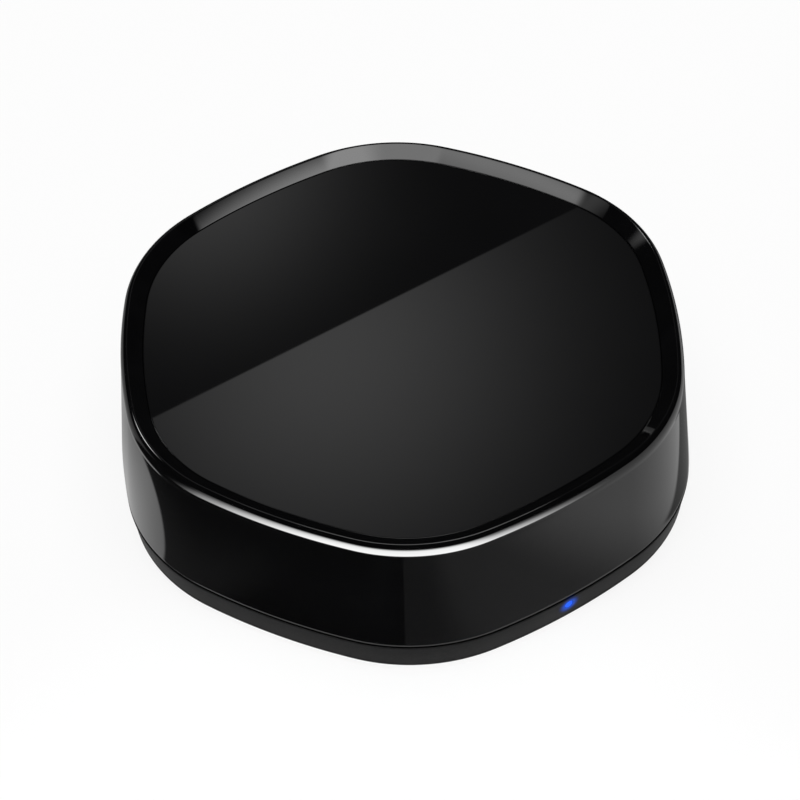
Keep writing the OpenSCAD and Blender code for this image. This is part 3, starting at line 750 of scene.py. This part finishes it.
# Sheet or turned metal: fine lines along one axis, with dull patches
def metalFinish(name, dark, light, roughness, lines):
    finish = Finish(name)
    line = finish.noise(0.12 * mm, 3, 0.7, place=finish.stretched(lines))
    patch = finish.noise(2.5 * mm, 3)
    finish.set(Base_Color=finish.mix(line * 0.5 + patch * 0.5, dark, light), Metallic=1.0,
               Roughness=roughness + 0.14 * (line - 0.5) + 0.12 * finish.step(patch, 0.45, 0.7),
               Normal=finish.bump(line, 2e-6, 0.5))
    return finish.material


boardLook = {
    "irregular": 0.75,           # 0 is a square grid of cells
    "lane": 0.16,                # distance between tracks, in cells
    "laneEdge": (0.07, 0.1),
    "weave": 0.3 * mm,
    "relief": 1.2e-5,
}


# Solder mask over copper: tracks run round blocky cells, over a fine weave
def boardFinish(name, mask, track, pitch):
    g = boardLook
    finish = Finish(name)
    cell = finish.node("TexVoronoi", {"feature": "F1", "distance": "CHEBYCHEV"},
                       {"Vector": finish.place, "Scale": 1 / pitch, "Randomness": g["irregular"]}, "Distance")
    lane = finish.step(finish.sum("PINGPONG", cell, g["lane"]), *g["laneEdge"])
    weave = finish.noise(g["weave"], 2)
    finish.set(Base_Color=finish.mix(lane * 0.8, mask, track),
               Roughness=0.32 + 0.12 * weave - 0.08 * lane,
               Normal=finish.bump(lane + weave * 0.15, g["relief"], 0.7), IOR=1.5)
    return finish.material


# A clear or smoked epoxy body
def resinFinish(name, tint, roughness, through):
    finish = Finish(name)
    swirl = finish.noise(1.4 * mm, 2)
    finish.set(Base_Color=finish.mix(swirl, tint, tuple(0.8 * c for c in tint)),
               Roughness=roughness + 0.05 * swirl, Transmission_Weight=through, IOR=1.54,
               Normal=finish.bump(swirl, 2e-6, 0.4))
    return finish.material


labelLook = {
    "film": (0.36, 0.365, 0.37),
    "edge": (0.20, 0.203, 0.206),
    "edgeFrom": 14.2 * mm,       # the darker edge starts here, from the label's middle
    "edgeTo": 14.3 * mm,
    "fibre": 0.25 * mm,
    "fibreDepth": 3e-6,
}


# Silver-grey film, blank, with a faint weave of its backing
def labelFinish():
    g = labelLook
    finish = Finish("blank_label_film")
    fibre = finish.noise(g["fibre"], 3, place=finish.stretched((1, 0.25, 1)))
    middle = (0, 0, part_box("underside_label")[0].z)
    rim = finish.step(finish.away(middle), g["edgeFrom"], g["edgeTo"])
    finish.set(Base_Color=finish.mix(rim * 0.8 + fibre * 0.1, g["film"], g["edge"]),
               Roughness=0.34 + 0.12 * fibre, Metallic=0.35 * (1 - rim),
               Normal=finish.bump(fibre, g["fibreDepth"], 0.4))
    return finish.material


canLook = {
    "metal": (0.62, 0.63, 0.65),
    "mark": (0.03, 0.03, 0.032),
    "markSide": 1.1 * mm,        # the mark covers a can's top from here to its rim
    "markBlur": 0.05 * mm,
    "topFrom": 0.08 * mm,        # depth below the top at which the mark ends
    "topTo": 0.02 * mm,
    "brushing": 0.1 * mm,
}


# Brushed can with a dark printed segment on its top, one for each capacitor
def canFinish():
    g = canLook
    finish = Finish("capacitor_aluminium")
    low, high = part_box("capacitor_cans")
    radius = (high.y - low.y) / 2
    line = finish.noise(g["brushing"], 3, place=finish.stretched((1, 1, 0.08)))
    across = finish.axis("X")
    top = finish.step(finish.axis("Z"), high.z - g["topFrom"], high.z - g["topTo"])
    marks = 0
    for centre in (low.x + radius, high.x - radius):
        side, rim = centre - g["markSide"], centre - radius
        marks = marks + (finish.step(across, side, side - g["markBlur"])
                         * finish.step(across, rim, rim + g["markBlur"]))
    finish.set(Base_Color=finish.mix(marks * top, g["metal"], g["mark"]),
               Metallic=1.0 - 0.9 * (marks * top), Roughness=0.28 + 0.16 * line,
               Normal=finish.bump(line, 2e-6, 0.5))
    return finish.material


# For each slot: the material's name, dark and light tone, grain, roughness and depth of the bump
moulded = {
    "adhesive": ("foam_tape", (0.48, 0.46, 0.40), (0.60, 0.58, 0.52), 0.18 * mm, 0.9, 4e-6),
    "rubber": ("foot_rubber", (0.022, 0.022, 0.023), (0.040, 0.040, 0.041), 0.16 * mm, 0.8, 8e-6),
    "button_plastic": ("button_plastic", (0.018, 0.018, 0.019), (0.030, 0.030, 0.031), 0.2 * mm, 0.42, 5e-6),
    "black_resin": ("black_resin", (0.010, 0.010, 0.011), (0.028, 0.028, 0.029), 0.1 * mm, 0.55, 4e-6),
    "plunger_plastic": ("plunger_plastic", (0.30, 0.055, 0.012), (0.40, 0.085, 0.02), 0.2 * mm, 0.45, 4e-6),
    "resistor_glaze": ("resistor_glaze", (0.010, 0.011, 0.013), (0.022, 0.023, 0.026), 0.15 * mm, 0.3, 4e-6),
    "capacitor_ceramic": ("capacitor_ceramic", (0.30, 0.20, 0.10), (0.40, 0.28, 0.15), 0.15 * mm, 0.5, 4e-6),
    "led_body": ("led_body", (0.72, 0.74, 0.76), (0.82, 0.84, 0.86), 0.15 * mm, 0.4, 4e-6),
    "foam": ("foam_gasket", (0.012, 0.012, 0.012), (0.035, 0.035, 0.035), 0.12 * mm, 0.95, 1.5e-5),
}

# For each slot: the material's name, dark and light tone, roughness and the stretch of its fine lines
metals = {
    "zinc_screw": ("zinc_plate", (0.52, 0.53, 0.56), (0.68, 0.69, 0.70), 0.3, (1, 1, 0.2)),
    "socket_steel": ("socket_steel", (0.50, 0.51, 0.53), (0.66, 0.67, 0.69), 0.25, (0.1, 1, 1)),
    "gold_plating": ("gold_plating", (0.78, 0.55, 0.20), (0.90, 0.68, 0.30), 0.22, (1, 0.2, 1)),
    "tinned_lead": ("tinned_lead", (0.60, 0.60, 0.60), (0.74, 0.74, 0.74), 0.28, (1, 1, 0.15)),
    "shield_steel": ("shield_steel", (0.56, 0.57, 0.58), (0.70, 0.71, 0.72), 0.3, (0.08, 1, 1)),
    "copper_trace": ("copper_trace", (0.60, 0.36, 0.12), (0.75, 0.50, 0.22), 0.3, (1, 0.3, 1)),
    "solder": ("solder", (0.55, 0.56, 0.57), (0.72, 0.73, 0.74), 0.32, (1, 1, 1)),
}

finishes = {
    "smoked_panel": smokedPanel(),
    "glossy_shell": glossyShell(),
    "matte_base": matteBase(),
    "blue_light": blueLight(),
    "label": labelFinish(),
    "capacitor_aluminium": canFinish(),
    "board_laminate": boardFinish("board_laminate", (0.006, 0.055, 0.022), (0.012, 0.11, 0.045), 1.3 * mm),
    "module_laminate": boardFinish("module_laminate", (0.008, 0.022, 0.07), (0.018, 0.05, 0.13), 0.9 * mm),
    "emitter_resin": resinFinish("emitter_resin", (0.62, 0.72, 0.92), 0.06, 0.85),
    "receiver_resin": resinFinish("receiver_resin", (0.012, 0.010, 0.014), 0.12, 0.0),
    **{slot: mouldedFinish(*values) for slot, values in moulded.items()},
    **{slot: metalFinish(*values) for slot, values in metals.items()},
}


def dress(piece, material):
    piece.data.materials.clear()
    piece.data.materials.append(material)


for part in frame["record"]["subparts"]:
    dress(frame["nodes"][part["node"]], finishes[part["material_slot"]])
dress(shellPiece, finishes["glossy_shell"])
dress(basePiece, finishes["matte_base"])
dress(panelPiece, finishes["smoked_panel"])
print("finishes made:", len(finishes))

view = {
    "picture": 800,              # width of the picture in pixels
    "focal": 3200,               # focal length in those pixels
    "sensor": 36.0,
    "clip": (0.01, 100),
    "azimuth": math.radians(-32.66),
    "elevation": math.radians(45.63),
    "roll": math.radians(-2.08),
    "distance": 425.7 * mm,
    "aim": Vector((-6.64 * mm, -9.65 * mm, panelHigh.z)),
}


# The direction towards an azimuth and an elevation, both in radians
def towards(azimuth, elevation):
    return Vector((math.sin(azimuth) * math.cos(elevation),
                   -math.cos(azimuth) * math.cos(elevation), math.sin(elevation)))


def cameraAxes():
    roll = view["roll"]
    back = towards(view["azimuth"], view["elevation"])
    right = (-back).cross(Vector((0, 0, 1))).normalized()
    up = right.cross(-back)
    turnedRight = right * math.cos(roll) + up * math.sin(roll)
    turnedUp = up * math.cos(roll) - right * math.sin(roll)
    return turnedRight, turnedUp, back


# Level directions, towards the camera and towards its right
def floorAxes():
    back = cameraAxes()[2]
    ahead = Vector((back.x, back.y, 0)).normalized()
    return ahead, Vector((-ahead.y, ahead.x, 0))


def makeCamera():
    right, up, back = cameraAxes()
    data = bpy.data.cameras.new("camera")
    data.sensor_width = view["sensor"]
    data.lens = view["sensor"] * view["focal"] / view["picture"]
    data.clip_start, data.clip_end = view["clip"]
    camera = bpy.data.objects.new("camera", data)
    turn = Matrix((right, up, back)).transposed().to_4x4()
    camera.matrix_world = Matrix.Translation(view["aim"] + back * view["distance"]) @ turn
    bpy.context.scene.collection.objects.link(camera)
    bpy.context.scene.camera = camera
    return camera


camera = makeCamera()
print("camera set")


# The camera's ray through a picture point, mirrored in the top panel
def mirroredRay(x, y):
    right, up, back = cameraAxes()
    middle = view["picture"] / 2
    ray = -back * view["focal"] + right * (x - middle) - up * (y - middle)
    ray.normalize()
    start = camera.matrix_world.translation
    hit = start + ray * ((panelHigh.z - start.z) / ray.z)
    return hit, Vector((ray.x, ray.y, -ray.z))


stage = {
    "floor": 4.0,
    "floorDrop": 0.02 * mm,
    "floorColour": (0.8, 0.8, 0.8),
    "floorRoughness": 0.9,
    "shadow": 0.12,              # share of the floor's look that takes the object's shadow
    "worldLight": 0.35,
}


# White to camera, glossy and transmission rays, plain grey light to the rest
def makeWorld():
    world = bpy.data.worlds.new("studio")
    world.use_nodes = True
    sky = Nodes(world.node_tree)
    level = sky.node("MapRange", {}, {"Value": sky.plainlySeen(), "To Min": stage["worldLight"]})
    output = sky.tree.nodes.new("ShaderNodeOutputWorld")
    sky.put(output.inputs["Surface"], sky.node("Background", {}, {"Strength": level}))
    bpy.context.scene.world = world


def makeFloor():
    half, low = stage["floor"] / 2, -stage["floorDrop"]
    floor = flatSheet("floor", [(-half, -half, low), (half, -half, low),
                                (half, half, low), (-half, half, low)])
    finish = Finish("pale_floor")
    finish.set(Base_Color=stage["floorColour"], Roughness=stage["floorRoughness"])
    white = finish.node("Emission", {}, {"Strength": 1.0}, "Emission")
    lit = Signal(finish, finish.shader.outputs[0])
    share = finish.plainlySeen() * (1 - stage["shadow"])
    blend = finish.node("MixShader", {}, {0: share, 1: lit, 2: white}, "Shader")
    finish.put(finish.output.inputs["Surface"], blend)
    floor.data.materials.append(finish.material)


# Only reflections see a card: no camera, light or shadow ray does
def onlyReflected(piece, finish):
    piece.data.materials.append(finish.material)
    for ray in ("camera", "diffuse", "transmission", "shadow", "volume_scatter"):
        setattr(piece, "visible_" + ray, False)


tent = {
    "radius": 1.6,
    "rows": 24,
    "columns": 48,
    "hole": 0.01,                # radians left open at the top, closed by a flat face
    "level": 0.008,              # how light the dark tent round the table is
    "cloud": 0.5,
    "glowAzimuth": -130,         # a soft light on the tent, in degrees from the camera's azimuth
    "glowElevation": 44,
    "glowReach": 9.5,
    "glowCore": 0.3,             # share of that reach at full power
    "glowPower": 14,
    "bandTop": 0.58,             # the front strip's light ends this high on the tent
}


# A dome: a ring of radius * cos(rise) at the height radius * sin(rise)
def makeTent():
    t = tent
    rise = np.linspace(0, math.pi / 2 - t["hole"], t["rows"])[:, None]
    turn = np.linspace(0, 2 * math.pi, t["columns"], endpoint=False)[None, :]
    ring = np.stack([t["radius"] * np.cos(rise) * np.cos(turn), t["radius"] * np.cos(rise) * np.sin(turn),
                     t["radius"] * np.sin(rise) + 0 * turn], axis=-1)
    dome = plug("dark_tent", ring)
    finish = Finish("dark_cloth", emits=True)
    middle = t["radius"] * towards(view["azimuth"] + math.radians(t["glowAzimuth"]),
                                   math.radians(t["glowElevation"]))
    reach = 2 * t["radius"] * math.sin(math.radians(t["glowReach"]) / 2)
    glow = t["glowPower"] * finish.step(finish.away(middle), reach, t["glowCore"] * reach)
    band = floorLook["stripPower"] * fromFront(finish) * finish.step(finish.axis("Z"), t["bandTop"], 0)
    finish.set(Color=finish.mix(finish.noise(t["cloud"], 2), (0.9, 0.9, 0.9), (1, 1, 1)),
               Strength=t["level"] + glow + band)
    onlyReflected(dome, finish)


# How much of the front strip's light comes from a place: smooth in the cosine of its azimuth
def fromFront(finish):
    t = floorLook
    turn = view["azimuth"] + t["stripTurn"]
    forward = finish.along((math.sin(turn), -math.cos(turn), 0))
    level = finish.node("VectorMath", {"operation": "MULTIPLY"}, {0: finish.place, 1: (1, 1, 0)})
    length = finish.node("VectorMath", {"operation": "LENGTH"}, {0: level}, "Value")
    return finish.step(forward / length, *t["stripSpread"]) ** t["stripFall"]


# The card that the top panel mirrors: a glow on each side of a straight edge
card = {
    "distance": 0.9,
    "size": 0.7,
    "edgeFrom": (153, 418),      # picture points of the edge's reflection
    "edgeTo": (578, 207),
    "edgeBlur": 2.0,             # in picture pixels
    "nearGlow": (320, 350),      # middle of the glow below the edge
    "nearReach": 195,
    "nearPower": 0.83,
    "farGlow": (200, 170),
    "farReach": 125,
    "farPower": 0.66,
    "dark": 0.02,
}


def makeCard():
    c = card
    hit, axis = mirroredRay(view["picture"] / 2, view["picture"] / 2)
    middle = hit + axis * c["distance"]
    across = axis.cross(Vector((0, 0, 1))).normalized()
    rise = across.cross(axis)

    def onCard(point):
        start, ray = mirroredRay(*point)
        return start + ray * ((middle - start).dot(axis) / ray.dot(axis))

    half = across * c["size"] / 2, rise * c["size"] / 2
    sheet = flatSheet("mirror_card", [middle - half[0] - half[1], middle + half[0] - half[1],
                                      middle + half[0] + half[1], middle - half[0] + half[1]])
    finish = Finish("card_glow", emits=True)
    perPixel = (onCard((view["picture"] / 2 + 1, view["picture"] / 2)) - middle).length
    first, last = onCard(c["edgeFrom"]), onCard(c["edgeTo"])
    beyond = (last - first).normalized().cross(axis).normalized()
    if (onCard(c["nearGlow"]) - first).dot(beyond) < 0:
        beyond = -beyond
    side = finish.along(beyond) - first.dot(beyond)
    blur = c["edgeBlur"] * perPixel
    below = finish.step(side, -blur / 2, blur / 2)

    # power * exp(-(distance / reach) squared)
    def glow(point, reach, power):
        share = finish.away(onCard(point)) / (reach * perPixel)
        return power * math.exp(-1) ** (share * share)

    light = (below * glow(c["nearGlow"], c["nearReach"], c["nearPower"])
             + (1 - below) * glow(c["farGlow"], c["farReach"], c["farPower"]) + c["dark"])
    finish.set(Strength=light)
    onlyReflected(sheet, finish)


# What reflections find on the floor, in lengths towards the camera's right and towards the camera.
# A pair is where a soft edge starts and where it ends, unless its note says otherwise.
floorLook = {
    "radius": 1.59,
    "columns": 96,
    "height": 0.05 * mm,
    "dark": 0.018,
    "stepAt": 3.9 * mm,          # a straight edge towards the camera, lighter to its right
    "stepLean": 0.117,
    "stepBlur": 1.0 * mm,
    "stepRise": 0.09,
    "nearRise": 0.13,
    "nearEnd": 16 * mm,
    "sideRise": 0.46,
    "sideRange": (28 * mm, 47 * mm),
    "shadeFrom": 41 * mm,        # a dark corner at the right, behind a slanting edge
    "shadeEdge": 45.4 * mm,
    "shadeSlant": (0.909, 0.418),  # a direction, to the right and towards the camera
    "shade": 0.14,
    "leftMiddle": (-38.7 * mm, 8.2 * mm),  # a place
    "leftRadius": 14.8 * mm,     # the light patch on the left has a round front end
    "leftBack": (2 * mm, -4 * mm),
    "leftInner": (-12 * mm, -20 * mm),
    "leftFar": 0.30,
    "leftNear": 0.78,
    "leftRange": (-8 * mm, 18 * mm),
    "haze": 0.06,                # faint light by the left foot
    "hazeAside": (-26 * mm, -36 * mm),
    "hazeFar": (62 * mm, 46 * mm),
    "stripFrom": 69 * mm,        # a bright strip in front, beyond what the wall mirrors
    "stripBlur": 7 * mm,
    "stripPower": 21,
    "stripTurn": math.radians(-5),
    "stripSpread": (0.35, 0.95),  # cosines at which it starts and has its full light
    "stripFall": 2.2,
}


# A disc on the floor
def makeFlag():
    t = floorLook
    turn = np.linspace(0, 2 * math.pi, t["columns"], endpoint=False)
    sheet = flatSheet("floor_flag", np.stack([t["radius"] * np.cos(turn), t["radius"] * np.sin(turn),
                                              t["height"] + 0 * turn], axis=-1))
    finish = Finish("flag_cloth", emits=True)
    ahead, beside = floorAxes()
    aside, near = finish.along(beside), finish.along(ahead)
    far = finish.away((0, 0, t["height"]))
    # right of the edge: three rises added up, cut short in the shaded corner
    blur = t["stepBlur"] / 2
    onRight = finish.step(aside + t["stepLean"] * near, t["stepAt"] - blur, t["stepAt"] + blur)
    rises = (t["stepRise"] + t["nearRise"] * finish.step(aside, t["stepAt"], t["nearEnd"])
             + t["sideRise"] * finish.step(aside, *t["sideRange"]))
    slant = t["shadeSlant"][0] * aside + t["shadeSlant"][1] * near
    shaded = (finish.step(aside, t["shadeFrom"] - blur, t["shadeFrom"] + blur)
              * finish.step(slant, t["shadeEdge"] + blur, t["shadeEdge"] - blur))
    rises = rises * (1 - shaded) + t["shade"] * shaded
    # left: a round front end joined to everything behind it
    overhang = finish.sum("MAXIMUM", near - t["leftMiddle"][1], 0)
    offset = aside - t["leftMiddle"][0]
    reach = (overhang * overhang + offset * offset) ** 0.5
    patch = finish.sum("MAXIMUM", finish.step(reach, t["leftRadius"] + blur, t["leftRadius"] - blur),
                       finish.step(near, *t["leftBack"]))
    patch = patch * finish.step(aside, *t["leftInner"])
    leftLight = patch * (t["leftFar"] + (t["leftNear"] - t["leftFar"]) * finish.step(near, *t["leftRange"]))
    haze = t["haze"] * finish.step(aside, *t["hazeAside"]) * finish.step(far, *t["hazeFar"])
    strip = (t["stripPower"] * fromFront(finish)
             * finish.step(far, t["stripFrom"], t["stripFrom"] + t["stripBlur"]))
    finish.set(Strength=t["dark"] + onRight * rises + leftLight + haze + strip)
    onlyReflected(sheet, finish)


# A pale sheet by the foot, cut to the outline and moved towards the camera: the upright land below
# the wall mirrors it as a thin line, and the leaning wall looks over it
footSheet = {
    "forward": 5.85 * mm,
    "height": 0.08 * mm,
    "level": 0.85,
}


def makeFootSheet():
    t = footSheet
    shift = floorAxes()[0] * t["forward"]
    x, y = outlineAt(outlineTurns(), -housing["flare"])
    sheet = flatSheet("foot_sheet", np.stack([x + shift.x, y + shift.y, t["height"] + 0 * x], axis=-1))
    finish = Finish("pale_paper", emits=True)
    finish.set(Strength=t["level"])
    onlyReflected(sheet, finish)


# The card over the rear that the bezel's slope mirrors: a bowed band of light, brighter to the
# camera's right. Lengths are towards the camera's right and away from the camera.
rearCard = {
    "height": 80 * mm,           # above the top panel
    "across": (-42 * mm, 34 * mm),
    "depth": (5 * mm, 34.5 * mm),
    "bandMiddle": 54 * mm,       # the band bows round this place
    "bandRadius": 41 * mm,
    "bandReach": 10 * mm,
    "level": 4.0,
    "rise": 1.8,
    "riseEnd": 11 * mm,
    "leftEnd": 26.5 * mm,
    "rightEnd": 33 * mm,
    "depthEnd": 24.5 * mm,
    "fade": 6 * mm,
    "tail": 0.8,                 # faint light beyond the left end
    "tailEnd": 40 * mm,
}


def makeRearCard():
    c = rearCard
    ahead, beside = floorAxes()
    over = Vector((0, 0, panelHigh.z + c["height"]))
    (left, right), (front, rear) = c["across"], c["depth"]
    corners = (left, rear), (right, rear), (right, front), (left, front)
    sheet = flatSheet("rear_card", [over + beside * x - ahead * y for x, y in corners])
    finish = Finish("rear_card_glow", emits=True)
    aside = finish.along(beside)
    off = finish.away(over - ahead * c["bandMiddle"]) - c["bandRadius"]
    band = finish.step(finish.sum("ABSOLUTE", off, 0), c["bandReach"], c["bandReach"] / 2)
    depth = over.dot(ahead) - finish.along(ahead)
    lit = ((c["level"] + c["rise"] * finish.step(aside, 0, c["riseEnd"]))
           * finish.step(aside, c["rightEnd"], c["rightEnd"] - c["fade"])
           * finish.step(depth, c["depthEnd"], c["depthEnd"] - c["fade"]))
    ends = finish.step(aside, -c["leftEnd"], c["fade"] - c["leftEnd"])
    tail = c["tail"] * finish.step(aside, -c["tailEnd"], -c["leftEnd"]) * (1 - ends)
    finish.set(Strength=band * (lit * ends + tail))
    onlyReflected(sheet, finish)


# A soft box overhead: azimuth from the camera's, elevation from the floor, both in degrees
softBox = {
    "azimuth": 0,
    "elevation": 89,
    "distance": 0.75,
    "size": 0.75,
    "radiance": 3.4,             # what it shows
}


def makeLamp():
    lamp = softBox
    back = towards(view["azimuth"] + math.radians(lamp["azimuth"]), math.radians(lamp["elevation"]))
    data = bpy.data.lights.new("overhead", "AREA")
    data.shape = "RECTANGLE"
    data.size = data.size_y = lamp["size"]
    data.energy = lamp["radiance"] * math.pi * data.size * data.size_y
    light = bpy.data.objects.new("overhead", data)
    light.location = Vector((0, 0, panelHigh.z)) + back * lamp["distance"]
    light.rotation_mode = "QUATERNION"
    light.rotation_quaternion = back.to_track_quat("Z", "Y")
    light.visible_camera = False
    light.visible_glossy = False
    bpy.context.scene.collection.objects.link(light)


makeWorld()
makeFloor()
makeTent()
makeCard()
makeFlag()
makeFootSheet()
makeRearCard()
makeLamp()
bpy.context.scene.view_settings.view_transform = "Standard"
print("stage and lamp set")
